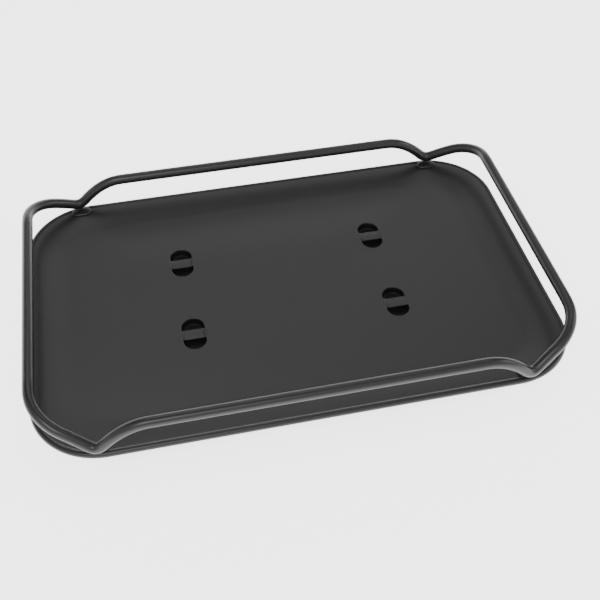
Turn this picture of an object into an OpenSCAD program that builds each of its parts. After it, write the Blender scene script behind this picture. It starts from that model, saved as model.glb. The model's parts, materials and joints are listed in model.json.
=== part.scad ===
// Folding luggage rack: a pressed steel deck inside a wavy rod rail, on two H-shaped leg frames that fold flat beneath it.
// Millimetres. +Z up, +X along the deck's long side, -Y is the front. The origin is on the floor under the middle of
// the folded rack. Everything is drawn folded. All lengths come from the sizes below.

/* [Deck] */
// Overall length of the deck over its rolled rim
deck_length = 610; // [560:5:740]
// Overall depth of the deck over its rolled rim
deck_depth = 396; // [370:2:480]
// Radius of the deck's corners, at the middle of the rolled rim
corner_radius = 76; // [62:1:92]
// Diameter of the rolled rim
rim_diameter = 8; // [6:0.5:10]
// Thickness of the deck's sheet
sheet = 1.5; // [1:0.1:2.5]
// Width of the soft curve that rises from the floor of the deck to the rim
border_width = 43; // [30:1:48]
// Height of the rim's middle over the deck's floor
border_rise = 1; // [0:0.5:3]

/* [Strap slots] */
// Distance between the left and the right slots
slot_pitch_x = 242; // [200:2:270]
// Distance between the front and the back slots
slot_pitch_y = 118; // [100:2:130]
// How far the group of slots lies behind the middle of the deck
slot_offset_y = 9; // [0:1:12]
// How far the group of slots lies to the right of the middle of the deck
slot_offset_x = 3; // [0:0.5:6]
// Width of a slot, left to right
slot_width = 26.5; // [24:0.5:32]
// Length of a slot, front to back
slot_length = 47; // [44:1:54]
// Width of the bridge that crosses the slot
bridge_width = 14; // [10:1:18]
// Depth by which the bridge is pressed below the floor of the deck
bridge_drop = 1; // [0.5:0.5:3]
// Depth of the cup under each slot, below the underside of the deck
cup_depth = 9; // [7:1:10]

/* [Rail] */
// Diameter of the rail's rod
rail_diameter = 12.7; // [10:0.1:16]
// Height of the rod's middle over the rim, along the front and the back
rail_height = 42; // [34:1:56]
// Height of the rod's middle over the rim, along the two ends
rail_end_height = 48; // [38:1:62]
// How far the rod runs inside the rim at the two ends
rail_end_inset = 5.7; // [3:0.1:9]
// Distance of each dip in the rail from the middle of the deck, as a share of half the rim's length
dip_share = 0.781; // [0.74:0.005:0.8]
// Length over which the rail comes down to a dip from the front or back run
dip_run = 57; // [45:1:70]

/* [Legs] */
// Diameter of the leg tubes
tube_diameter = 16; // [14:0.5:18]
// Wall of the leg tubes
tube_wall = 1.5; // [1:0.1:2]
// Distance from a hinge to the ground, along the leg
leg_length = 380; // [330:5:384]
// Angle through which the legs open
leg_open = 97; // [91:1:97]
// Distance from a hinge to the end of the deck
hinge_inset = 59; // [50:1:64]
// Distance from the hinge to the cross tube
stretcher_reach = 90; // [70:1:90]
// Distance from the middle of the deck to the outer pair of leg tubes, which belongs to the left legs
outer_tube_y = 150; // [146:1:156]
// Distance between an outer tube and the inner tube beside it
tube_pitch = 32; // [31:1:36]

/* [Hidden] */
$fn = 48;
eps = 0.01;
rim_r = rim_diameter / 2;
rim_x = deck_length / 2 - rim_r;
rim_y = deck_depth / 2 - rim_r;
// middles of the deck's corner arcs
arc_x = rim_x - corner_radius;
arc_y = rim_y - corner_radius;
tube_r = tube_diameter / 2;
tube_bore_r = tube_r - tube_wall;

// the moulded cups fixed under the slots, by their radius inside at the top and at the bottom
cup_wall = 1.2;
cup_top_r = slot_width / 2 + 2;
cup_bottom_r = slot_width / 2 - 0.5;

// heights, from the ground up
foot_width = 22;
axle_z = foot_width / 2;
deck_gap = 14;
floor_under = axle_z + tube_r + deck_gap;
floor_top = floor_under + sheet;
rim_z = floor_top + border_rise;

// plan of the legs
hinge_x = deck_length / 2 - hinge_inset;
inner_tube_y = outer_tube_y - tube_pitch;

// hinge brackets
bush_length = tube_diameter + 2;
cheek_gap = bush_length + 1;
cheek = 2;
bracket_half = 22;
// height of the wide upper part of a cheek
web_height = 17;
eye_r = 10;
pin_r = 4;
bush_r = 5.5;
running_gap = 0.05;
pin_head_r = 6.5;
pin_head = 1.5;
stub = 17.5;
plug_flange = 1.5;
plug_depth = 6;
stop_r = 3;
stop_gap = 0.3;
lock_r = 4;
lock_gap = 0.06;
// places of the stop pin and the lock pin from the hinge, on each side of the open leg's stub
splay = leg_open - 90;
stop_along = 14;
stop_side = tube_r + stop_r + stop_gap;
stop_x = stop_along * sin(splay) + stop_side * cos(splay);
stop_z = stop_along * cos(splay) - stop_side * sin(splay);
lock_along = 12;
lock_side = tube_r + lock_r + stop_gap;
lock_x = lock_along * sin(splay) - lock_side * cos(splay);
lock_z = lock_along * cos(splay) + lock_side * sin(splay);
guide_r = 7;
guide_length = 10;
knob_length = 12;
knob_grip = 5;
// the lock pin's travel takes its tip from the inner cheek into the outer one
lock_travel = cheek_gap + cheek;
// and the knob stops short of the guide when the pin is home
knob_clearance = 3;
lock_length = guide_length + lock_travel + knob_grip + knob_clearance;
// the knob clears the deck
knob_deck_gap = 1;
knob_r = floor_under - axle_z - lock_z - knob_deck_gap;

// feet and cradles
foot_length = 32;
foot_bore = 24;
foot_corner = 4;
cradle_inset = 56;
cradle_x = hinge_x - leg_length + cradle_inset;
cradle_length = 24;
cradle_width = 22;
cradle_gap = 0.3;

steel = [0.26, 0.27, 0.28];
bright = [0.7, 0.71, 0.72];
rubber = [0.08, 0.08, 0.08];
plastic = [0.14, 0.14, 0.15];

// ---------- helpers ----------

// a cylinder along Y, centred on the origin
module along_y(r, length) {
    rotate([90, 0, 0]) cylinder(r = r, h = length, center = true);
}

// a cylinder along +X, starting at the origin
module along_x(r, length) {
    rotate([0, 90, 0]) cylinder(r = r, h = length);
}

// a flat rectangle with round corners
module round_rectangle(x, y, r) {
    square([x, y - 2 * r], center = true);
    square([x - 2 * r, y], center = true);
    for (i = [-1, 1], j = [-1, 1])
        translate([i * (x / 2 - r), j * (y / 2 - r)]) circle(r = r);
}

// the hinge line of one pair of legs: side -1 is left, 1 is right
function hinge_at(side) = side * hinge_x;
// distance of a pair's tubes from the middle of the deck
function tube_y(side) = side < 0 ? outer_tube_y : inner_tube_y;

// puts children at a hinge, with +X along the folded leg, which points to the deck's middle
module at_hinge(side, row) {
    translate([hinge_at(side), row * tube_y(side), axle_z])
        rotate([0, 0, side < 0 ? 0 : 180]) children();
}

// ---------- deck ----------

// height of the border over the floor, a smooth step from 0 at the floor to its full height at the rim
border_top = border_rise + rim_r * 0.8;
function border_height(t) = border_top * t * t * (3 - 2 * t);
border_steps = 10;
// a point of the border in section: distance out from the corner's centre, and height
function border_point(t, base) = [corner_radius - border_width + (border_width - 1) * t, base + border_height(t)];

// section of the deck from a start on its floor to inside the rim
module deck_section(start) {
    polygon(concat(
        [[start, floor_under], [start, floor_top]],
        [for (i = [0:border_steps]) border_point(i / border_steps, floor_top)],
        [for (i = [border_steps:-1:0]) border_point(i / border_steps, floor_under)]));
}

module rim_section() {
    translate([corner_radius, rim_z]) circle(r = rim_r);
}

// the middle of the deck, with the front and the back border in one section
module deck_middle(half_x, half_y) {
    rotate([90, 0, 90]) linear_extrude(2 * half_x, center = true)
        for (side = [0, 1]) mirror([side, 0]) translate([half_y, 0]) {
            deck_section(-half_y);
            rim_section();
        }
}

module deck_end(length) {
    rotate([90, 0, 0]) linear_extrude(length, center = true) {
        deck_section(0);
        rim_section();
    }
}

module deck_corner() {
    rotate_extrude(angle = 90) {
        deck_section(0);
        rim_section();
    }
}

module slot_hole() {
    round_rectangle(slot_width, slot_length, slot_width / 2 - eps);
}

// the bridge left across a slot: both ends ramp down to a flat middle
ramp = 4;
module bridge() {
    half = slot_width / 2;
    rotate([90, 0, 0]) linear_extrude(bridge_width, center = true)
        polygon([[-half, floor_top], [-half + ramp, floor_top - bridge_drop], [half - ramp, floor_top - bridge_drop],
            [half, floor_top], [half, floor_under], [half - ramp, floor_under - bridge_drop],
            [-half + ramp, floor_under - bridge_drop], [-half, floor_under]]);
}

module at_slots() {
    for (i = [-1, 1], j = [-1, 1])
        translate([slot_offset_x + i * slot_pitch_x / 2, slot_offset_y + j * slot_pitch_y / 2]) children();
}

module deck() {
    color(steel) {
        difference() {
            deck_middle(arc_x, arc_y);
            at_slots() translate([0, 0, floor_under - 1]) linear_extrude(sheet + 2) slot_hole();
        }
        at_slots() bridge();
        for (side = [0, 180]) rotate([0, 0, side]) {
            translate([arc_x, 0, 0]) deck_end(2 * arc_y);
            translate([arc_x, arc_y, 0]) deck_corner();
            translate([-arc_x, arc_y, 0]) rotate([0, 0, 90]) deck_corner();
        }
    }
}

// a round-ended block whose sides lean in towards its bottom
module lean_block(top_r, bottom_r, height) {
    straight = slot_length - slot_width;
    for (j = [-1, 1]) translate([0, j * straight / 2, 0]) cylinder(r1 = bottom_r, r2 = top_r, h = height);
    rotate([90, 0, 0]) linear_extrude(straight, center = true)
        polygon([[-bottom_r, 0], [bottom_r, 0], [top_r, height], [-top_r, height]]);
}

// a shallow cup under each slot, in which a strap passes beneath the bridge
module strap_cups() {
    color(plastic) at_slots() translate([0, 0, floor_under - cup_depth]) difference() {
        lean_block(cup_top_r + cup_wall, cup_bottom_r + cup_wall, cup_depth);
        translate([0, 0, cup_wall]) lean_block(cup_top_r, cup_bottom_r, cup_depth - cup_wall);
    }
}

// ---------- rail ----------

rail_r = rail_diameter / 2;
rail_side_x = rim_x - rail_end_inset;
dip_x = rim_x * dip_share;
// how far the rod sinks into the rim where it is welded to it
weld_sink = 0.1;
// how far the rim has already curved in where the dip meets it
rim_curve = corner_radius - sqrt(pow(corner_radius, 2) - pow(max(0, dip_x - arc_x), 2));
// the rod's middle at the bottom of a dip, where the rod lies on the rim
dip_z = sqrt(pow(rim_r + rail_r - weld_sink, 2) - pow(rim_curve, 2));
// the sharp point that the dip's round bend is cut from
bend = 6;
dip_point_z = dip_z - bend * 0.32;
// plan of a corner: a straight lead from the dip, then an arc to the end of the rack
corner_lead = 23.6;
rail_corner = 50;
lead = (rail_side_x - rail_corner + rail_corner * sin(corner_lead) - dip_x) / cos(corner_lead);
corner_y = rim_y - lead * sin(corner_lead) - rail_corner * cos(corner_lead);
turn_length = rail_corner * (90 - corner_lead) * PI / 180;
rise_length = lead + turn_length + 13;
rise_power = 1.8;

// the run along the front or back comes down to a dip on a parabola
function run_height(x) = rail_height
    - (rail_height - dip_point_z) * pow(max(0, x - dip_x + dip_run) / dip_run, 2);
function run_point(x) = [x, rim_y, run_height(x)];
// height at a distance s past a dip, easing into the height of the rack's end
function turn_height(s) = rail_end_height
    - (rail_end_height - dip_point_z) * pow(max(0, 1 - s / rise_length), rise_power);
function turn_point(s) = s < lead
    ? [dip_x + s * cos(corner_lead), rim_y - s * sin(corner_lead), turn_height(s)]
    : let(a = corner_lead + (s - lead) / rail_corner * 180 / PI)
        a < 90
        ? [rail_side_x - rail_corner + rail_corner * sin(a), corner_y + rail_corner * cos(a), turn_height(s)]
        : [rail_side_x, corner_y - (s - lead - turn_length), turn_height(s)];
// the round bend at the bottom of a dip, u from 0 to 1
function bend_point(u) = let(a = run_point(dip_x - bend), b = run_point(dip_x), c = turn_point(bend))
    (1 - u) * (1 - u) * a + 2 * u * (1 - u) * b + u * u * c;

// a quarter of the rail, from the middle of the back to the middle of an end
run_steps = 9;
turn_steps = 13;
quarter = concat(
    [[0, rim_y, rail_height], [(dip_x - dip_run) * 0.6, rim_y, rail_height]],
    [for (i = [0:run_steps]) run_point(dip_x - dip_run + (dip_run - bend - 1) * i / run_steps)],
    [for (u = [0:0.25:1]) bend_point(u)],
    [for (i = [1:turn_steps]) turn_point(bend + (rise_length - bend) * i / turn_steps)],
    [[rail_side_x, corner_y * 0.3, rail_end_height]]);
count = len(quarter);
loop = concat(
    quarter,
    [for (i = [count - 1:-1:0]) [quarter[i][0], -quarter[i][1], quarter[i][2]]],
    [for (i = [1:count - 1]) [-quarter[i][0], -quarter[i][1], quarter[i][2]]],
    [for (i = [count - 1:-1:1]) [-quarter[i][0], quarter[i][1], quarter[i][2]]]);
rail_sides = 14;

function unit(v) = v / norm(v);
function tangent(i) = unit(loop[(i + 1) % len(loop)] - loop[(i + len(loop) - 1) % len(loop)]);
// a ring of points round the rod at loop point i
function ring(i) = let(t = tangent(i), side = unit(cross(t, [0, 0, 1])), up = cross(side, t))
    [for (k = [0:rail_sides - 1])
        loop[i] + [0, 0, rim_z] + rail_r * (cos(360 * k / rail_sides) * side + sin(360 * k / rail_sides) * up)];

module rail() {
    points = [for (i = [0:len(loop) - 1]) each ring(i)];
    n = len(loop);
    faces = [for (i = [0:n - 1], k = [0:rail_sides - 1])
        let(j = (i + 1) % n, m = (k + 1) % rail_sides)
        [i * rail_sides + k, j * rail_sides + k, j * rail_sides + m, i * rail_sides + m]];
    color(steel) polyhedron(points, faces);
}

// a small round-ended tab welded between the rim and the rod at each dip
tab_length = 24;
tab_width = 15;
tab_height = 4;
tab_lip = 1;

// the rim, and everything under the top face of the border, in section
module filled_border() {
    polygon(concat(
        [for (i = [0:border_steps]) border_point(i / border_steps, floor_top)],
        [[corner_radius - 1, floor_under], [corner_radius - border_width, floor_under]]));
    rim_section();
}

// one tab in the back right quarter, cut to fit on the border, round the rim and under the rod
module rail_tab() {
    difference() {
        translate([dip_x, rim_y - rim_curve - tab_width / 2, rim_z + rim_r + tab_lip - tab_height])
            linear_extrude(tab_height) round_rectangle(tab_length, tab_width, tab_width / 2 - eps);
        translate([arc_x, arc_y, 0]) rotate_extrude(angle = 90) filled_border();
        translate([arc_x - 2 * tab_length, arc_y, 0]) rotate([90, 0, 90])
            linear_extrude(2 * tab_length) filled_border();
        translate([dip_x - tab_length, rim_y, rim_z + dip_z]) along_x(rail_r, 2 * tab_length);
    }
}

module rail_tabs() {
    color(steel) for (i = [0, 1], j = [0, 1]) mirror([i, 0, 0]) mirror([0, j, 0]) rail_tab();
}

// ---------- hinge brackets ----------

// one cheek, flat in XZ, with its hinge hole at the origin; only the front brackets carry a lock
module cheek_outline(locking) {
    difference() {
        union() {
            circle(r = eye_r);
            translate([-eye_r, 0]) square([2 * eye_r, floor_under - axle_z - eps]);
            translate([-bracket_half, floor_under - axle_z - web_height]) square([2 * bracket_half, web_height]);
        }
        circle(r = pin_r);
        translate([stop_x, stop_z]) circle(r = stop_r);
        if (locking) translate([lock_x, lock_z]) circle(r = lock_r + lock_gap);
    }
}

module bracket(side, row) {
    color(steel) at_hinge(side, row) {
        for (j = [-1, 1])
            translate([0, j * (cheek_gap + cheek) / 2, 0])
                rotate([90, 0, 0]) linear_extrude(cheek, center = true) cheek_outline(row < 0);
        translate([-bracket_half, -cheek_gap / 2 - cheek, floor_under - axle_z - cheek])
            cube([2 * bracket_half, cheek_gap + 2 * cheek, cheek]);
    }
}

module bracket_left_front() { bracket(-1, -1); }
module bracket_left_back() { bracket(-1, 1); }
module bracket_right_front() { bracket(1, -1); }
module bracket_right_back() { bracket(1, 1); }

module at_all_hinges() {
    for (side = [-1, 1], row = [-1, 1]) at_hinge(side, row) children();
}

module hinge_pins() {
    color(bright) at_all_hinges() {
        along_y(pin_r, cheek_gap + 2 * cheek + 2 * pin_head);
        for (j = [-1, 1])
            translate([0, j * (cheek_gap / 2 + cheek + pin_head / 2), 0]) along_y(pin_head_r, pin_head);
    }
}

module stop_pins() {
    color(bright) at_all_hinges()
        translate([stop_x, 0, stop_z]) along_y(stop_r, cheek_gap + 2 * cheek + 1);
}

// places children at a front bracket's lock line, with +Y pointing out from the middle of the deck
module at_lock(side) {
    translate([hinge_at(side) - side * lock_x, -tube_y(side), axle_z + lock_z])
        rotate([0, 0, 180]) children();
}

// distance of a bracket's inner face from the tube's middle
inner_face = cheek_gap / 2 + cheek;

module lock_guides() {
    color(bright) for (side = [-1, 1]) at_lock(side)
        translate([0, -inner_face - guide_length / 2, 0]) difference() {
            along_y(guide_r, guide_length);
            along_y(lock_r + lock_gap, guide_length + 1);
        }
}

// the lock pin is drawn pulled back, with its tip inside the inner cheek
lock_tip = -inner_face + cheek - 0.5;

module lock_pin(side) {
    color(bright) at_lock(side) translate([0, lock_tip - lock_length / 2, 0]) along_y(lock_r, lock_length);
}

module lock_knob(side) {
    color(plastic) at_lock(side) translate([0, lock_tip - lock_length + knob_grip, 0]) difference() {
        translate([0, -knob_length / 2, 0]) along_y(knob_r, knob_length);
        translate([0, -knob_grip / 2, 0]) along_y(lock_r, knob_grip);
    }
}

module lock_left_pin() { lock_pin(-1); }
module lock_left_knob() { lock_knob(-1); }
module lock_right_pin() { lock_pin(1); }
module lock_right_knob() { lock_knob(1); }

// rubber cradles under the deck that the folded legs press into
module leg_cradles() {
    color(rubber) for (side = [-1, 1], row = [-1, 1])
        translate([side * cradle_x, row * tube_y(side), 0]) difference() {
            translate([-cradle_length / 2, -cradle_width / 2, axle_z])
                cube([cradle_length, cradle_width, floor_under - axle_z]);
            translate([-cradle_length, 0, axle_z]) along_x(tube_r + cradle_gap, 2 * cradle_length);
        }
}

// ---------- legs ----------

module leg_tube(side, row) {
    color(steel) at_hinge(side, row) difference() {
        translate([-stub + plug_flange, 0, 0])
            along_x(tube_r, stub - plug_flange + leg_length - foot_length + foot_bore);
        translate([-stub, 0, 0]) along_x(tube_bore_r, stub + leg_length);
        along_y(bush_r, 4 * tube_r);
    }
}

module leg_left_tube_front() { leg_tube(-1, -1); }
module leg_left_tube_back() { leg_tube(-1, 1); }
module leg_right_tube_front() { leg_tube(1, -1); }
module leg_right_tube_back() { leg_tube(1, 1); }

// the cross tube, cut to fit against the two leg tubes
module stretcher(side) {
    x = hinge_at(side) - side * stretcher_reach;
    color(steel) translate([x, 0, axle_z]) difference() {
        along_y(tube_r, 2 * tube_y(side));
        along_y(tube_bore_r, 2 * tube_y(side) + 1);
        for (row = [-1, 1])
            translate([-2 * tube_r, row * tube_y(side), 0]) along_x(tube_r, 4 * tube_r);
    }
}

module leg_left_stretcher() { stretcher(-1); }
module leg_right_stretcher() { stretcher(1); }

// a rubber foot whose end is cut to lie flat on the ground when the leg is open
module foot(side, row) {
    color(rubber) at_hinge(side, row) difference() {
        translate([leg_length - foot_length, 0, 0]) rotate([90, 0, 90])
            linear_extrude(foot_length + foot_width * sin(splay)) round_rectangle(foot_width, foot_width, foot_corner);
        translate([leg_length - foot_length - 1, 0, 0]) along_x(tube_r, foot_bore + 1);
        translate([leg_length, 0, 0]) rotate([0, -splay, 0])
            translate([0, -foot_width, -2 * foot_width]) cube([foot_width, 2 * foot_width, 4 * foot_width]);
    }
}

module leg_left_foot_front() { foot(-1, -1); }
module leg_left_foot_back() { foot(-1, 1); }
module leg_right_foot_front() { foot(1, -1); }
module leg_right_foot_back() { foot(1, 1); }

// nylon bushes pressed through the tubes, which turn on the hinge pins
module bushes(side) {
    color(plastic) for (row = [-1, 1]) at_hinge(side, row) difference() {
        along_y(bush_r, bush_length);
        along_y(pin_r + running_gap, bush_length + 1);
    }
}

module leg_left_bushes() { bushes(-1); }
module leg_right_bushes() { bushes(1); }

// plugs that close the tubes' short ends
module plugs(side) {
    color(plastic) for (row = [-1, 1]) at_hinge(side, row) translate([-stub, 0, 0]) {
        along_x(tube_r, plug_flange);
        along_x(tube_bore_r, plug_flange + plug_depth);
    }
}

module leg_left_plugs() { plugs(-1); }
module leg_right_plugs() { plugs(1); }

deck();
strap_cups();
rail();
rail_tabs();
bracket_left_front();
bracket_left_back();
bracket_right_front();
bracket_right_back();
hinge_pins();
stop_pins();
lock_guides();
leg_cradles();
leg_left_tube_front();
leg_left_tube_back();
leg_left_stretcher();
leg_left_foot_front();
leg_left_foot_back();
leg_left_bushes();
leg_left_plugs();
leg_right_tube_front();
leg_right_tube_back();
leg_right_stretcher();
leg_right_foot_front();
leg_right_foot_back();
leg_right_bushes();
leg_right_plugs();
lock_left_pin();
lock_left_knob();
lock_right_pin();
lock_right_knob();
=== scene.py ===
"""A folding luggage rack: a dished steel deck inside a wavy rod rail, on two pairs of folding legs.

The detailed pieces are computed surfaces in metres, in the frame's own axes.
"""

import json
import math

import bmesh
import bpy
import numpy as np
from bpy.props import FloatProperty, FloatVectorProperty, PointerProperty
from mathutils import Matrix, Vector
from mathutils.geometry import tessellate_polygon

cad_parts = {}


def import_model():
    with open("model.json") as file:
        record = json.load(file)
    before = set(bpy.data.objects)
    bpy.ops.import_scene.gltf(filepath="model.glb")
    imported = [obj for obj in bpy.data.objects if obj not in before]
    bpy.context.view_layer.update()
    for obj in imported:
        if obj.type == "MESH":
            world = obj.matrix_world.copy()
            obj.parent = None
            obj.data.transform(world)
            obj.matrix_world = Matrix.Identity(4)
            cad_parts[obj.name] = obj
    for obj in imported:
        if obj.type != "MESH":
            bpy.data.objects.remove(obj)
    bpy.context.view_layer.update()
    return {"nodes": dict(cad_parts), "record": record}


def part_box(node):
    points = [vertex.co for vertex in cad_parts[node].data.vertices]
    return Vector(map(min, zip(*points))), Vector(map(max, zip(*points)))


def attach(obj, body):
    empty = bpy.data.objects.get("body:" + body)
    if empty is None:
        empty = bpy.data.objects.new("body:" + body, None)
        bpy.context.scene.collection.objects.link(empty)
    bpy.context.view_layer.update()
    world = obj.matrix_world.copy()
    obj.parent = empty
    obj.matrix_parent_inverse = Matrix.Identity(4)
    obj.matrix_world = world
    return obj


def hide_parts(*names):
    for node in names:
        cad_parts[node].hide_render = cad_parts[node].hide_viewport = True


bl_info = {
    "name": "Folding luggage rack",
    "version": (1, 0, 0),
    "blender": (4, 5, 0),
    "location": "View3D > Sidebar > Rack",
    "description": "Builds the detailed pieces of a folding luggage rack round its packed frame",
    "category": "Object",
}

MM = 0.001
# radius of the rounded edge that falls into a slot
LIP = 0.6 * MM
# how far an open leg leans past upright
SPLAY = math.radians(7)
# strength of the sky, of the dark ring in it, of the glow inside the ring, and of the paper's own light
DOME = 1.2
DIM = 0.1
PATCH = 1.15
PAPER_GLOW = 2.7


# ---------- settings ----------

class DeckSettings(bpy.types.PropertyGroup):
    """Sizes of the deck that its box doesn't give."""
    corner: FloatProperty(name="Corner radius", description="To the middle of the rolled rim",
                          default=76 * MM, unit="LENGTH")
    rim: FloatProperty(name="Rim radius", description="Radius of the rolled rim", default=4 * MM,
                       unit="LENGTH")
    border: FloatProperty(name="Border", description="Width of the soft border", default=43 * MM,
                          unit="LENGTH")
    rise: FloatProperty(name="Rise", description="Rim's middle over the floor", default=1 * MM, unit="LENGTH")
    sheet: FloatProperty(name="Sheet", description="Thickness of the sheet", default=1.5 * MM, unit="LENGTH")
    slot_pitch: FloatVectorProperty(name="Slot pitch", description="Between slots, along X and Y", size=2,
                                    default=(242 * MM, 118 * MM), unit="LENGTH")
    slot_shift: FloatVectorProperty(name="Slot shift", description="Slots' shift to the right and back",
                                    size=2, default=(3 * MM, 9 * MM), unit="LENGTH")
    slot_size: FloatVectorProperty(name="Slot size", description="Width and length of a slot", size=2,
                                   default=(26.5 * MM, 47 * MM), unit="LENGTH")
    bridge: FloatProperty(name="Bridge", description="Width of the bridge over a slot", default=14 * MM,
                          unit="LENGTH")
    drop: FloatProperty(name="Drop", description="Depth of the bridge below the floor", default=1 * MM,
                        unit="LENGTH")


class RailSettings(bpy.types.PropertyGroup):
    """Sizes of the rail that its box doesn't give."""
    rod: FloatProperty(name="Rod radius", description="Radius of the rod", default=6.35 * MM, unit="LENGTH")
    end_over_run: FloatProperty(name="End over run", description="How much higher the rail is at its ends",
                                default=6 * MM, unit="LENGTH")
    corner: FloatProperty(name="Corner radius", description="Radius of a corner in plan", default=50 * MM,
                          unit="LENGTH")
    dip_run: FloatProperty(name="Dip run", description="Length over which the rail falls to a dip",
                           default=57 * MM, unit="LENGTH")
    lead: FloatProperty(name="Lead", description="Angle of the straight lead to a corner",
                        default=math.radians(23.6), unit="ROTATION")
    bend: FloatProperty(name="Bend", description="Half the length of the round bend at a dip", default=8 * MM,
                        unit="LENGTH")
    dip_share: FloatProperty(name="Dip share", default=0.781,
                             description="Place of a dip as a share of half the rim's length")
    point_drop: FloatProperty(name="Point drop", description="From the rod's lowest middle down to the sharp "
                              "point that the bend is cut from", default=1.9 * MM, unit="LENGTH")
    rise_past_turn: FloatProperty(name="Rise past turn", default=13 * MM, unit="LENGTH",
                                  description="How far past the turn the rod still rises")
    rise_power: FloatProperty(name="Rise power", description="How the rise to an end eases out", default=1.8)
    weld_sink: FloatProperty(name="Weld sink", description="How far the rod sinks into the rim",
                             default=0.1 * MM, unit="LENGTH")


class CameraSettings(bpy.types.PropertyGroup):
    """Where the camera stands and looks."""
    place: FloatVectorProperty(name="Place", description="Camera over the middle of the rim", size=3,
                               default=(-135.5 * MM, -724.4 * MM, 772.0 * MM), unit="LENGTH")
    yaw: FloatProperty(name="Yaw", description="Turn to the right", default=math.radians(11.946),
                       unit="ROTATION")
    pitch: FloatProperty(name="Pitch", description="Tilt down", default=math.radians(47.2), unit="ROTATION")
    roll: FloatProperty(name="Roll", description="Turn about the view", default=math.radians(-0.116),
                        unit="ROTATION")
    lens: FloatProperty(name="Lens", description="Focal length in millimetres", default=52.85)


# ---------- mesh helpers ----------

class Surface:
    """Collects grids and fans of points into one closed mesh, welding the points that coincide."""

    def __init__(self):
        self.points = []
        self.faces = []

    def add(self, points, faces):
        """Adds points (n, 3) and faces given as tuples of their indices."""
        start = sum(len(p) for p in self.points)
        self.points.append(np.asarray(points, float).reshape(-1, 3))
        self.faces.extend(tuple(int(i) + start for i in face) for face in faces)

    def grid(self, points, close_u=False, close_v=False, flip=False):
        """Adds the quads of a grid (u, v, 3), joined end to end where it is closed."""
        points = np.asarray(points, float)
        rows, columns = points.shape[:2]
        u, v = np.meshgrid(np.arange(rows if close_u else rows - 1),
                           np.arange(columns if close_v else columns - 1), indexing="ij")
        u2, v2 = (u + 1) % rows, (v + 1) % columns
        quads = np.stack([u * columns + v, u2 * columns + v, u2 * columns + v2, u * columns + v2], -1)
        quads = quads.reshape(-1, 4)
        self.add(points, quads[:, ::-1] if flip else quads)

    def cap(self, ring, flip=False):
        """Closes a ring of points with a fan of triangles about its middle."""
        ring = np.asarray(ring, float)
        n = len(ring)
        fan = [(i, (i + 1) % n, n) for i in range(n)]
        self.add(np.vstack([ring, ring.mean(0)]), [f[::-1] for f in fan] if flip else fan)

    def build(self, name, sharp=math.radians(40)):
        """Makes the object, shaded smooth but for edges sharper than an angle."""
        mesh = bpy.data.meshes.new(name)
        mesh.from_pydata(np.vstack(self.points).tolist(), [], self.faces)
        work = bmesh.new()
        work.from_mesh(mesh)
        bmesh.ops.remove_doubles(work, verts=work.verts, dist=1e-6)
        bmesh.ops.dissolve_degenerate(work, edges=work.edges, dist=1e-7)
        bmesh.ops.recalc_face_normals(work, faces=work.faces)
        for face in work.faces:
            face.smooth = True
        for edge in work.edges:
            edge.smooth = len(edge.link_faces) == 2 and edge.calc_face_angle(0) < sharp
        work.to_mesh(mesh)
        work.free()
        thing = bpy.data.objects.new(name, mesh)
        bpy.context.scene.collection.objects.link(thing)
        return thing


def smooth_step(t):
    """0 to 1 with level ends: three t squared less two t cubed."""
    t = np.clip(t, 0, 1)
    return t * t * (3 - 2 * t)


def circle(radius, count, start=0.0, turn=2 * math.pi):
    """Points of an arc in a plane, without its last point when it is a full turn."""
    full = abs(turn) > 6.28
    a = start + turn * np.arange(count) / (count if full else count - 1)
    return np.stack([radius * np.cos(a), radius * np.sin(a)], -1)


def lathe(profile, centre, axis, count=48):
    """Turns a profile of (distance along the axis, radius) about an axis: a circle at each profile point."""
    axis = np.asarray(axis, float)
    side = np.cross(axis, [0.31, 0.52, 0.79])
    side /= np.linalg.norm(side)
    up = np.cross(axis, side)
    ring = circle(1.0, count)
    profile = np.asarray(profile, float)
    spin = ring[:, :1] * side + ring[:, 1:] * up
    return np.asarray(centre) + profile[:, None, :1] * axis + profile[:, None, 1:] * spin[None]


def round_box(size, corner, steps=6):
    """A rounded rectangle in a plane: four quarter circles joined by straight sides."""
    x, y = size[0] / 2 - corner, size[1] / 2 - corner
    arcs = []
    for k, (i, j) in enumerate([(1, 1), (-1, 1), (-1, -1), (1, -1)]):
        arcs.append(circle(corner, steps, k * math.pi / 2, math.pi / 2) + [i * x, j * y])
    return np.vstack(arcs)


# ---------- materials ----------

class Value:
    """A number in a node tree, with the usual arithmetic."""

    def __init__(self, tree, socket):
        self.tree = tree
        self.socket = socket

    def math(self, operation, *others):
        """The result of a maths node on this value and others."""
        node = self.tree.nodes.new("ShaderNodeMath")
        node.operation = operation
        for slot, item in zip(node.inputs, (self, *others)):
            if isinstance(item, Value):
                self.tree.links.new(item.socket, slot)
            else:
                slot.default_value = item
        return Value(self.tree, node.outputs[0])

    def constant(self, number):
        """A node that holds a number."""
        node = self.tree.nodes.new("ShaderNodeValue")
        node.outputs[0].default_value = number
        return Value(self.tree, node.outputs[0])

    def __add__(self, other):
        return self.math("ADD", other)

    def __radd__(self, other):
        return self.math("ADD", other)

    def __mul__(self, other):
        return self.math("MULTIPLY", other)

    def __rmul__(self, other):
        return self.math("MULTIPLY", other)

    def __sub__(self, other):
        return self.math("SUBTRACT", other)

    def __rsub__(self, other):
        return self.constant(other).math("SUBTRACT", self)

    def __truediv__(self, other):
        return self.math("DIVIDE", other)


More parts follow.
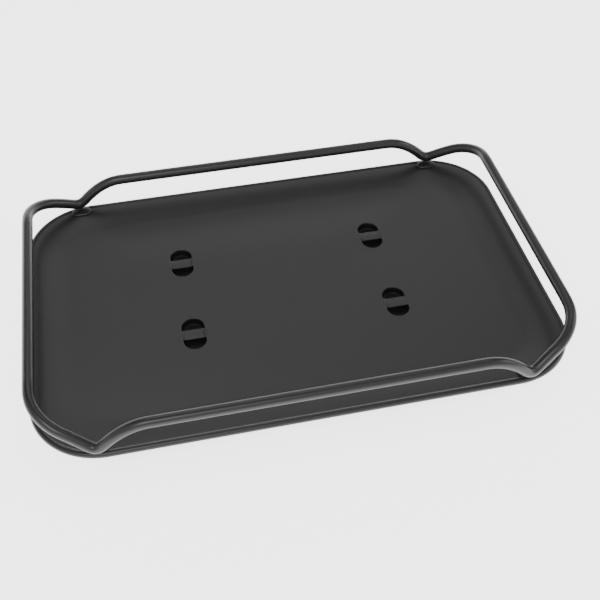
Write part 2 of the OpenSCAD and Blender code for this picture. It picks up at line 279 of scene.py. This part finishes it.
class Finish:
    """One material: a shader and the nodes that feed it."""

    def __init__(self, name):
        self.material = bpy.data.materials.new(name)
        self.material.use_nodes = True
        self.tree = self.material.node_tree
        self.shader = self.tree.nodes["Principled BSDF"]
        self.where = self.node("ShaderNodeTexCoord").outputs["Object"]

    def node(self, kind, **inputs):
        """Adds a node of any kind, with its inputs given by name."""
        made = self.tree.nodes.new(kind)
        for name, item in inputs.items():
            socket = made.inputs[name.replace("_", " ")]
            if isinstance(item, Value):
                self.tree.links.new(item.socket, socket)
            elif isinstance(item, bpy.types.NodeSocket):
                self.tree.links.new(item, socket)
            else:
                socket.default_value = item
        return made

    def noise(self, scale, detail=3.0, rough=0.5):
        """Soft noise from 0 to 1, a few millimetres or more across, by its scale per metre."""
        made = self.node("ShaderNodeTexNoise", Vector=self.where, Scale=scale, Detail=detail, Roughness=rough)
        return Value(self.tree, made.outputs["Fac"])

    def mix(self, share, low, high):
        """Mixes two colours by a share."""
        made = self.tree.nodes.new("ShaderNodeMix")
        made.data_type = "RGBA"
        self.tree.links.new(share.socket, made.inputs[0])
        made.inputs[6].default_value = (*low, 1)
        made.inputs[7].default_value = (*high, 1)
        return made.outputs[2]

    def set(self, **inputs):
        """Sets the shader's inputs: numbers directly, nodes by a link."""
        for name, item in inputs.items():
            socket = self.shader.inputs[name.replace("_", " ")]
            if isinstance(item, Value):
                self.tree.links.new(item.socket, socket)
            elif isinstance(item, bpy.types.NodeSocket):
                self.tree.links.new(item, socket)
            else:
                socket.default_value = item

    def bump(self, height, distance, strength=1.0):
        """Feeds a height into the shader's normal."""
        made = self.node("ShaderNodeBump", Height=height, Strength=strength, Distance=distance)
        self.set(Normal=made.outputs["Normal"])


def painted_steel():
    """Dark powder coat: fine orange peel, soft clouds in the gloss and a trace of dust."""
    finish = Finish("painted_steel_finish")
    clouds = finish.noise(18, 3)
    finish.set(Specular_IOR_Level=0.4,
               Base_Color=finish.mix(clouds, (0.009, 0.009, 0.009), (0.011, 0.011, 0.011)),
               Roughness=0.30 + 0.06 * finish.noise(70, 4))
    finish.bump(finish.noise(1100, 2), 0.00003, 0.5)
    return finish.material


def bright_steel():
    """Zinc-plated steel with fine turning marks."""
    finish = Finish("bright_steel_finish")
    finish.set(Base_Color=finish.mix(finish.noise(160, 4), (0.42, 0.42, 0.41), (0.58, 0.58, 0.56)),
               Metallic=1.0, Roughness=0.28 + 0.2 * finish.noise(400, 3))
    finish.bump(finish.noise(1800, 2), 0.00003, 0.5)
    return finish.material


def rubber():
    """Black rubber with a dusty, finely grained face."""
    finish = Finish("rubber_finish")
    finish.set(Base_Color=finish.mix(finish.noise(90, 5), (0.012, 0.012, 0.012), (0.028, 0.027, 0.026)),
               Roughness=0.7 + 0.15 * finish.noise(300, 3))
    finish.bump(finish.noise(1400, 3), 0.00006, 0.7)
    return finish.material


def black_plastic():
    """Moulded nylon with a faint spark-eroded grain. Its near-black base and weak specular are also painted
    shade: on the cups under the slots they stand in for the shade seen down the slots.
    """
    finish = Finish("black_plastic_finish")
    # painted shade: base colour and specular kept very low so the cups read as the black shade inside the
    # slots
    finish.set(Specular_IOR_Level=0.15,
               Base_Color=finish.mix(finish.noise(120, 3), (0.003, 0.003, 0.003), (0.005, 0.005, 0.005)),
               Roughness=0.45 + 0.1 * finish.noise(500, 2))
    finish.bump(finish.noise(1600, 2), 0.00004, 0.5)
    return finish.material


def dress(frame):
    """Gives every frame node the material of its slot, and returns the materials by slot."""
    makers = {"painted_steel": painted_steel, "bright_steel": bright_steel, "rubber": rubber,
              "black_plastic": black_plastic}
    made = {slot: maker() for slot, maker in makers.items()}
    slots = {part["node"]: part["material_slot"] for part in frame["record"]["subparts"]}
    for name, node in frame["nodes"].items():
        node.data.materials.clear()
        node.data.materials.append(made[slots[name]])
    return made


def place(piece, body, slot, *nodes):
    """Lets a piece ride its body, wear its slot's material and stand for its nodes."""
    piece.data.materials.append(bpy.data.materials[f"{slot}_finish"])
    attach(piece, body)
    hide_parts(*nodes)
    return piece


# ---------- deck ----------

class DeckPlan:
    """The deck's levels and plan, from its box in the frame."""

    def __init__(self, settings):
        low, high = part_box("deck")
        self.settings = settings
        self.rim_z = high.z - settings.rim
        self.floor = self.rim_z - settings.rise
        self.half_x = high.x - settings.rim - settings.corner
        self.half_y = high.y - settings.rim - settings.corner

    def around(self, corner_steps=28, side_steps=36):
        """Points of the inner rectangle and the way out from each; a corner turns about one point."""
        bases, outs = [], []
        signs = [(1, 1), (-1, 1), (-1, -1), (1, -1)]
        for k, (i, j) in enumerate(signs):
            corner = np.array([i * self.half_x, j * self.half_y])
            arc = circle(1.0, corner_steps, k * math.pi / 2, math.pi / 2)
            bases.append(np.repeat(corner[None], corner_steps, 0))
            outs.append(arc)
            nxt = signs[(k + 1) % 4]
            end = np.array([nxt[0] * self.half_x, nxt[1] * self.half_y])
            t = np.arange(1, side_steps)[:, None] / side_steps
            bases.append(corner + (end - corner) * t)
            outs.append(np.repeat(arc[-1:], side_steps - 1, 0))
        return np.vstack(bases), np.vstack(outs)

    def slots(self):
        """The middles of the four slots."""
        s = self.settings
        return [(s.slot_shift[0] + i * s.slot_pitch[0] / 2, s.slot_shift[1] + j * s.slot_pitch[1] / 2)
                for i in (-1, 1) for j in (-1, 1)]


def deck_border(surface, plan):
    """The border and the rolled rim: a section swept round the deck.

    The section runs out along an S-shaped rise, once round the rim's circle, and back under the rise.
    """
    s = plan.settings
    top = s.rise + 0.8 * s.rim
    t = np.linspace(0, 1, 26)
    reach = s.border - 0.6 * s.rim
    out = s.corner - s.border + reach * t
    rise = plan.floor + top * smooth_step(t)
    rim = circle(s.rim, 36, math.pi - math.asin(0.8), -math.radians(332)) + [s.corner, plan.rim_z]
    back = np.stack([out[::-1], rise[::-1] - s.sheet], -1)
    lead_in = s.corner - s.border - 2 * MM
    start = [[lead_in, plan.floor]]
    end = [[lead_in, plan.floor - s.sheet]]
    section = np.vstack([start, np.stack([out, rise], -1)[:-1], rim, back[1:], end])
    bases, outs = plan.around()
    flat = bases[:, None] + outs[:, None] * section[None, :, :1]
    heights = np.repeat(section[None, :, 1:], len(bases), 0)
    surface.grid(np.concatenate([flat, heights], -1), close_u=True)
    return np.concatenate([flat[:, 0], heights[:, 0]], -1)


def slot_outline(size, grow=0.0, steps=20):
    """A slot's outline: two half circles joined by straight sides, grown by an offset."""
    radius = size[0] / 2
    straight = size[1] / 2 - radius
    up = circle(radius + grow, steps, 0, math.pi) + [0, straight]
    down = circle(radius + grow, steps, math.pi, math.pi) + [0, -straight]
    return np.vstack([up, down])


def deck_floor(surface, plan, edge):
    """The flat floor, top and bottom, with rounded edges falling into the slots."""
    s = plan.settings
    angles = np.linspace(0, math.pi / 2, 7)
    top_holes, bottom_holes = [], []
    for x, y in plan.slots():
        flat = slot_outline(s.slot_size, 2 * LIP) + [x, y]
        rings = [np.column_stack([flat, np.full(len(flat), plan.floor)])]
        for a in angles:
            ring = slot_outline(s.slot_size, LIP * (1 - math.sin(a))) + [x, y]
            rings.append(np.column_stack([ring, np.full(len(ring), plan.floor - LIP * (1 - math.cos(a)))]))
        bottom = rings[-1].copy()
        bottom[:, 2] = plan.floor - s.sheet
        surface.grid(np.stack([*rings, bottom]), close_v=True)
        top_holes.append(rings[0])
        bottom_holes.append(bottom)
    for holes, drop in ((top_holes, 0), (bottom_holes, s.sheet)):
        outer = edge - [0, 0, drop]
        loops = [outer, *holes]
        points = np.vstack(loops)
        triangles = tessellate_polygon([[Vector(p) for p in loop] for loop in loops])
        surface.add(points, triangles)


def deck_bridges(surface, plan):
    """The bridge over each slot: a rounded strip whose two ends ramp down to a flat middle on an S-curve."""
    s = plan.settings
    half = s.slot_size[0] / 2 + LIP
    ramp = 4 * MM
    root = 0.25 * MM
    along = np.linspace(-half, half, 45)
    drop = root + (s.drop - root) * smooth_step((half - np.abs(along)) / ramp)
    thickness = s.sheet * 0.85
    section = round_box((s.bridge, thickness), 0.5 * MM, 5)
    for x, y in plan.slots():
        grid = np.empty((len(along), len(section), 3))
        grid[..., 0] = x + along[:, None]
        grid[..., 1] = y + section[None, :, 0]
        grid[..., 2] = plan.floor - drop[:, None] - thickness / 2 + section[None, :, 1]
        surface.grid(grid, close_v=True)
        surface.cap(grid[0])
        surface.cap(grid[-1], flip=True)


class RACK_OT_deck(bpy.types.Operator):
    """Builds the deck: floor, slots, bridges, border and rolled rim"""
    bl_idname = "rack.deck"
    bl_label = "Deck"

    def execute(self, context):
        plan = DeckPlan(context.scene.rack_deck)
        surface = Surface()
        edge = deck_border(surface, plan)
        deck_floor(surface, plan, edge)
        deck_bridges(surface, plan)
        place(surface.build("deck_sheet"), "rack", "painted_steel", "deck")
        return {"FINISHED"}


class RACK_OT_cups(bpy.types.Operator):
    """Builds the cup under each slot: a pressed bowl with an outline that stays a slot's all the way down"""
    bl_idname = "rack.cups"
    bl_label = "Cups"

    def execute(self, context):
        plan = DeckPlan(context.scene.rack_deck)
        low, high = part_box("strap_cups")
        x, y = plan.slots()[0]
        reach = x - low.x
        wall = 1.2 * MM
        surface = Surface()
        for middle in plan.slots():
            self.bowl(surface, plan.settings.slot_size, middle, reach, wall, low.z, high.z)
        # painted shade: the bowls wear near-black plastic so that the slots look dark inside, standing in for
        # the shade down them
        place(surface.build("strap_cups_bowls"), "rack", "black_plastic", "strap_cups")
        return {"FINISHED"}

    def bowl(self, surface, size, middle, reach, wall, low, high):
        """Two walls, inside and outside, that lean in and turn into the bottom on a quarter circle."""
        lean = 2.5 * MM
        turn = 4 * MM
        section = []
        for out, base in ((-wall, low + wall), (0, low)):
            a = np.linspace(0, math.pi / 2, 10)
            radius = turn + out
            foot = reach + out - lean
            curve = np.stack([foot - radius * (1 - np.cos(a)), base + radius * (1 - np.sin(a))], -1)
            section.append(np.vstack([[[reach + out, high]], curve]))
        half = size[0] / 2
        inner, outer = section
        for profile, flip in ((inner[::-1], False), (outer, True)):
            rings = []
            for radius, z in profile:
                ring = slot_outline(size, radius - half) + middle
                rings.append(np.column_stack([ring, np.full(len(ring), z)]))
            surface.grid(np.stack(rings), close_v=True)
            surface.cap(rings[0] if not flip else rings[-1])
        edges = []
        for profile in (inner, outer):
            ring = slot_outline(size, profile[0][0] - half) + middle
            edges.append(np.column_stack([ring, np.full(len(ring), high)]))
        surface.grid(np.stack(edges), close_v=True)


# ---------- rail ----------

class RailPlan:
    """The rail's path, from its box and the deck's."""

    def __init__(self, settings, plan):
        low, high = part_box("rail")
        s = settings
        self.settings = s
        self.end_x = high.x - s.rod
        self.run_y = high.y - s.rod
        self.end_z = high.z - s.rod
        self.run_z = self.end_z - s.end_over_run
        rim_x = plan.half_x + plan.settings.corner
        self.dip_x = s.dip_share * rim_x
        radius = plan.settings.corner
        curve = radius - math.sqrt(radius ** 2 - max(0, self.dip_x - plan.half_x) ** 2)
        self.low_z = plan.rim_z + math.sqrt((plan.settings.rim + s.rod - s.weld_sink) ** 2 - curve ** 2)
        reach = self.end_x - s.corner + s.corner * math.sin(s.lead) - self.dip_x
        self.lead = reach / math.cos(s.lead)
        self.corner_y = self.run_y - self.lead * math.sin(s.lead) - s.corner * math.cos(s.lead)
        self.turn = s.corner * (math.pi / 2 - s.lead)
        self.rise = self.lead + self.turn + s.rise_past_turn

    def run(self, x):
        """The run falls to the dip on a parabola."""
        s = self.settings
        t = np.maximum(0, x - self.dip_x + s.dip_run) / s.dip_run
        depth = self.run_z - self.low_z + s.point_drop
        return np.stack([x, np.full_like(x, self.run_y), self.run_z - depth * t * t], -1)

    def corner(self, d):
        """At a distance d past the dip: a straight lead, a turn and the end, rising on a power curve."""
        s = self.settings
        a = s.lead + np.clip(d - self.lead, 0, self.turn) / s.corner
        straight = np.minimum(d, self.lead) - self.lead
        past = np.maximum(0, d - self.lead - self.turn)
        x = self.end_x - s.corner + s.corner * np.sin(a) + straight * math.cos(s.lead)
        y = self.corner_y + s.corner * np.cos(a) - straight * math.sin(s.lead) - past
        depth = self.end_z - self.low_z + s.point_drop
        return np.stack([x, y, self.end_z - depth * np.maximum(0, 1 - d / self.rise) ** s.rise_power], -1)

    def quarter(self):
        """From the middle of a run to the middle of an end, with a round bend at the dip."""
        s = self.settings
        run = self.run(np.linspace(0, self.dip_x - s.bend, 160))
        tip = self.run(np.array([self.dip_x]))[0]
        after = self.corner(np.array([s.bend]))[0]
        t = np.linspace(0, 1, 24)[1:-1, None]
        bend = (1 - t) ** 2 * run[-1] + 2 * t * (1 - t) * tip + t * t * after
        turn = self.corner(np.linspace(s.bend, self.rise, 90))
        end = np.linspace(turn[-1], [self.end_x, 0, self.end_z], 40)[1:]
        return np.vstack([run, bend, turn, end])

    def loop(self, spacing=1.5 * MM, blur=2.5 * MM):
        """The closed path, evenly spaced and eased by a short running average."""
        q = self.quarter()
        half = np.vstack([q, (q * [1, -1, 1])[-2::-1]])
        whole = np.vstack([half, (half * [-1, 1, 1])[-2:0:-1]])
        closed = np.vstack([whole, whole[:1]])
        along = np.concatenate([[0], np.cumsum(np.linalg.norm(np.diff(closed, axis=0), axis=1))])
        count = int(along[-1] / spacing)
        stops = np.arange(count) * along[-1] / count
        even = np.stack([np.interp(stops, along, closed[:, k]) for k in range(3)], -1)
        reach = int(3 * blur / spacing)
        weights = np.exp(-0.5 * (np.arange(-reach, reach + 1) * spacing / blur) ** 2)
        weights /= weights.sum()
        return sum(w * np.roll(even, k, 0) for w, k in zip(weights, range(-reach, reach + 1)))


def sweep(path, section):
    """A closed path with a section carried round it, its second axis kept as upright as it can be."""
    tangent = np.roll(path, -1, 0) - np.roll(path, 1, 0)
    tangent /= np.linalg.norm(tangent, axis=1)[:, None]
    side = np.cross(tangent, [0, 0, 1])
    side /= np.linalg.norm(side, axis=1)[:, None]
    up = np.cross(side, tangent)
    return path[:, None] + section[None, :, :1] * side[:, None] + section[None, :, 1:] * up[:, None]


class RACK_OT_rail(bpy.types.Operator):
    """Builds the rail: one rod swept round a closed wavy path"""
    bl_idname = "rack.rail"
    bl_label = "Rail"

    def execute(self, context):
        rail = RailPlan(context.scene.rack_rail, DeckPlan(context.scene.rack_deck))
        surface = Surface()
        surface.grid(sweep(rail.loop(), circle(rail.settings.rod, 32)), close_u=True, close_v=True)
        place(surface.build("rail_rod"), "rack", "painted_steel", "rail")
        return {"FINISHED"}


class RACK_OT_tabs(bpy.types.Operator):
    """Builds the four welded tabs at the dips: pillow-edged ovals"""
    bl_idname = "rack.tabs"
    bl_label = "Tabs"

    def execute(self, context):
        low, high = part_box("rail_tabs")
        plan = DeckPlan(context.scene.rack_deck)
        rail = RailPlan(context.scene.rack_rail, plan)
        surface = Surface()
        length = 24 * MM
        width = 15 * MM
        edge = 1.3 * MM
        for i in (-1, 1):
            for j in (-1, 1):
                centre = np.array([i * rail.dip_x, j * (high.y - width / 2), 0])
                rings = []
                for a in np.linspace(0, math.pi / 2, 7):
                    inset = edge * (1 - math.cos(a))
                    ring = round_box((length - 2 * inset, width - 2 * inset), width / 2 - inset - 1e-5, 12)
                    level = high.z - edge * (1 - math.sin(a))
                    rings.append(np.column_stack([ring, np.full(len(ring), level)]))
                foot = rings[0].copy()
                foot[:, 2] = low.z
                grid = np.stack([foot, *rings]) + centre
                surface.grid(grid, close_v=True)
                surface.cap(grid[0], flip=True)
                surface.cap(grid[-1])
        place(surface.build("weld_tabs"), "rack", "painted_steel", "rail_tabs")
        return {"FINISHED"}


# ---------- feet and knobs ----------

class RACK_OT_feet(bpy.types.Operator):
    """Builds the rubber feet: rounded square sleeves with grip grooves and a lipped mouth"""
    bl_idname = "rack.feet"
    bl_label = "Feet"

    def execute(self, context):
        for side, sign in (("left", 1), ("right", -1)):
            for row in ("front", "back"):
                node = f"leg_{side}_foot_{row}"
                self.foot(node, sign, f"{side}_legs")
        return {"FINISHED"}

    def foot(self, node, sign, body):
        """A rounded square swept along the leg, pulled in at three grooves and at its two ends.

        The far end leans with the splay of the open leg: the higher a point is, the shorter its way along.
        """
        low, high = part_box(node)
        middle = (low + high) / 2
        size = high.z - low.z
        length = high.x - low.x
        lean = size * math.tan(SPLAY)
        t = np.linspace(0, 1, 61)
        ends = 0.9 * MM * (np.clip(1 - t * 22, 0, 1) ** 2 + np.clip(1 - (1 - t) * 22, 0, 1) ** 2)
        grooves = 0.7 * MM * sum(np.exp(-((t - c) / 0.022) ** 2) for c in (0.45, 0.57, 0.69))
        surface = Surface()
        rings = []
        for share, inset in zip(t, ends + grooves):
            ring = round_box((size - 2 * inset, size - 2 * inset), 4 * MM, 8)
            rise = ring[:, 1] / size + 0.5
            along = share * (length - lean * rise)
            rings.append(np.column_stack([sign * (along - length / 2), ring[:, 0], ring[:, 1]]))
        grid = np.stack(rings) + np.array(middle)
        surface.grid(grid, close_v=True)
        surface.cap(grid[0])
        surface.cap(grid[-1])
        place(surface.build(f"{node}_rubber"), body, "rubber", node)


class RACK_OT_knobs(bpy.types.Operator):
    """Builds the lock knobs: fluted grips with rounded ends"""
    bl_idname = "rack.knobs"
    bl_label = "Knobs"

    def execute(self, context):
        for side in ("left", "right"):
            low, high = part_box(f"lock_{side}_knob")
            middle = (low + high) / 2
            radius = (high.x - low.x) / 2
            length = high.y - low.y
            edge = 1.6 * MM
            t = np.linspace(0, math.pi / 2, 7)
            near = np.stack([-length / 2 + edge * (1 - np.cos(t)), radius - edge * (1 - np.sin(t))], -1)
            profile = np.vstack([near, (near * [-1, 1])[::-1]])
            grid = lathe(profile, middle, (0, 1, 0), 96)
            spin = grid - np.array([middle.x, 0, middle.z]) * [1, 0, 1]
            angle = np.arctan2(spin[..., 2], spin[..., 0])
            flute = 1 - 0.05 * (0.5 + 0.5 * np.cos(12 * angle)) ** 3
            grid[..., 0] = middle.x + (grid[..., 0] - middle.x) * flute
            grid[..., 2] = middle.z + (grid[..., 2] - middle.z) * flute
            surface = Surface()
            surface.grid(grid, close_v=True)
            surface.cap(grid[0])
            surface.cap(grid[-1])
            place(surface.build(f"{side}_lock_grip"), f"lock_{side}", "black_plastic", f"lock_{side}_knob")
        return {"FINISHED"}


# ---------- stage ----------

class RACK_OT_stage(bpy.types.Operator):
    """Builds the floor, the lights and the camera"""
    bl_idname = "rack.stage"
    bl_label = "Stage"

    def execute(self, context):
        scene = context.scene
        self.floor()
        self.light("key", (-0.7, -1.7, 2.4), (0, 0, 0.05), (1.2, 1.2), 32)
        self.light("side", (2.6, -0.2, 1.5), (0, 0, 0.05), (1.2, 0.8), 14)
        self.light("strip", (0.3, 0.5, 2.0), (0, 0, 0.05), (2.4, 0.22), 8)
        self.world(scene)
        self.camera(scene)
        return {"FINISHED"}

    def floor(self):
        """A wide floor that sweeps up into a back wall along a quarter circle."""
        y = np.linspace(-4, 4, 30)
        bend = circle(1.5, 20, -math.pi / 2, math.pi / 2) + [4, 1.5]
        profile = np.vstack([np.stack([y, np.zeros_like(y)], -1), bend[1:], [[5.5, 2]]])
        x = np.linspace(-7, 7, 15)
        grid = np.empty((len(x), len(profile), 3))
        grid[..., 0] = x[:, None]
        grid[..., 1:] = profile[None]
        surface = Surface()
        surface.grid(grid)
        floor = surface.build("studio_floor")
        finish = Finish("studio_paper")
        finish.set(Base_Color=finish.mix(finish.noise(2, 2), (0.92, 0.92, 0.92), (0.94, 0.94, 0.94)),
                   Roughness=0.9, Emission_Color=(1, 1, 1, 1), Emission_Strength=PAPER_GLOW)
        floor.data.materials.append(finish.material)

    def world(self, scene):
        """A bright dome with a dark ring where the deck mirrors to the camera, and a soft glow in the ring.

        Ring and glow follow the cosine between a direction and the middle of the ring.
        """
        world = bpy.data.worlds.new("studio")
        world.use_nodes = True
        tree = world.node_tree
        settings = scene.rack_camera
        aim = tree.nodes.new("ShaderNodeVectorMath")
        aim.operation = "DOT_PRODUCT"
        tree.links.new(tree.nodes.new("ShaderNodeTexCoord").outputs["Generated"], aim.inputs[0])
        level = math.cos(settings.pitch)
        aim.inputs[1].default_value = (math.sin(settings.yaw) * level, math.cos(settings.yaw) * level,
                                       math.sin(settings.pitch))
        cosine = Value(tree, aim.outputs["Value"])
        ring = ((cosine - 0.35) / 0.4).math("MAXIMUM", 0.0).math("MINIMUM", 1.0)
        glow = ((cosine - 0.84) / 0.13).math("MAXIMUM", 0.0).math("MINIMUM", 1.0)
        light = DOME - (DOME - DIM) * ring + (PATCH - DIM) * glow
        tree.links.new(light.socket, tree.nodes["Background"].inputs[1])
        tree.nodes["Background"].inputs[0].default_value = (1, 1, 1, 1)
        scene.world = world

    def light(self, name, place_at, target, size, power):
        """A soft rectangular light aimed at a point."""
        data = bpy.data.lights.new(name, "AREA")
        data.shape = "RECTANGLE"
        data.size, data.size_y = size
        data.energy = power
        lamp = bpy.data.objects.new(name, data)
        lamp.location = place_at
        lamp.rotation_euler = (Vector(target) - Vector(place_at)).to_track_quat("-Z", "Y").to_euler()
        bpy.context.scene.collection.objects.link(lamp)

    def camera(self, scene):
        """The camera over the front left, looking down across the deck."""
        s = scene.rack_camera
        low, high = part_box("deck")
        data = bpy.data.cameras.new("camera")
        data.lens = s.lens
        data.sensor_width = 36
        data.clip_start = 0.01
        camera = bpy.data.objects.new("camera", data)
        level = math.cos(s.pitch)
        look = Vector((math.sin(s.yaw) * level, math.cos(s.yaw) * level, -math.sin(s.pitch)))
        right = Vector((math.cos(s.yaw), -math.sin(s.yaw), 0))
        up = right.cross(look)
        c, r = math.cos(s.roll), math.sin(s.roll)
        turned = Matrix((c * right + r * up, c * up - r * right, -look)).transposed()
        camera.matrix_world = Matrix.Translation(
            Vector(s.place) + Vector((0, 0, high.z - scene.rack_deck.rim))) @ turned.to_4x4()
        scene.collection.objects.link(camera)
        scene.camera = camera


class RACK_PT_panel(bpy.types.Panel):
    """The rack's settings and its operators"""
    bl_label = "Folding luggage rack"
    bl_idname = "RACK_PT_panel"
    bl_space_type = "VIEW_3D"
    bl_region_type = "UI"
    bl_category = "Rack"

    def draw(self, context):
        for name in GROUPS:
            group = getattr(context.scene, name)
            for key in group.bl_rna.properties.keys():
                if key not in ("rna_type", "name"):
                    self.layout.prop(group, key)
        for operator in OPERATORS:
            self.layout.operator(operator.bl_idname)


GROUPS = {"rack_deck": DeckSettings, "rack_rail": RailSettings, "rack_camera": CameraSettings}
OPERATORS = (RACK_OT_deck, RACK_OT_cups, RACK_OT_rail, RACK_OT_tabs, RACK_OT_feet, RACK_OT_knobs,
             RACK_OT_stage)


def register():
    for kind in (*GROUPS.values(), *OPERATORS, RACK_PT_panel):
        bpy.utils.register_class(kind)
    for name, group in GROUPS.items():
        setattr(bpy.types.Scene, name, PointerProperty(type=group))


def unregister():
    for name in GROUPS:
        delattr(bpy.types.Scene, name)
    for kind in reversed((*GROUPS.values(), *OPERATORS, RACK_PT_panel)):
        bpy.utils.unregister_class(kind)


def main():
    register()
    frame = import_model()
    dress(frame)
    for operator in OPERATORS:
        area, name = operator.bl_idname.split(".")
        getattr(getattr(bpy.ops, area), name)()


if __name__ == "__main__":
    main()
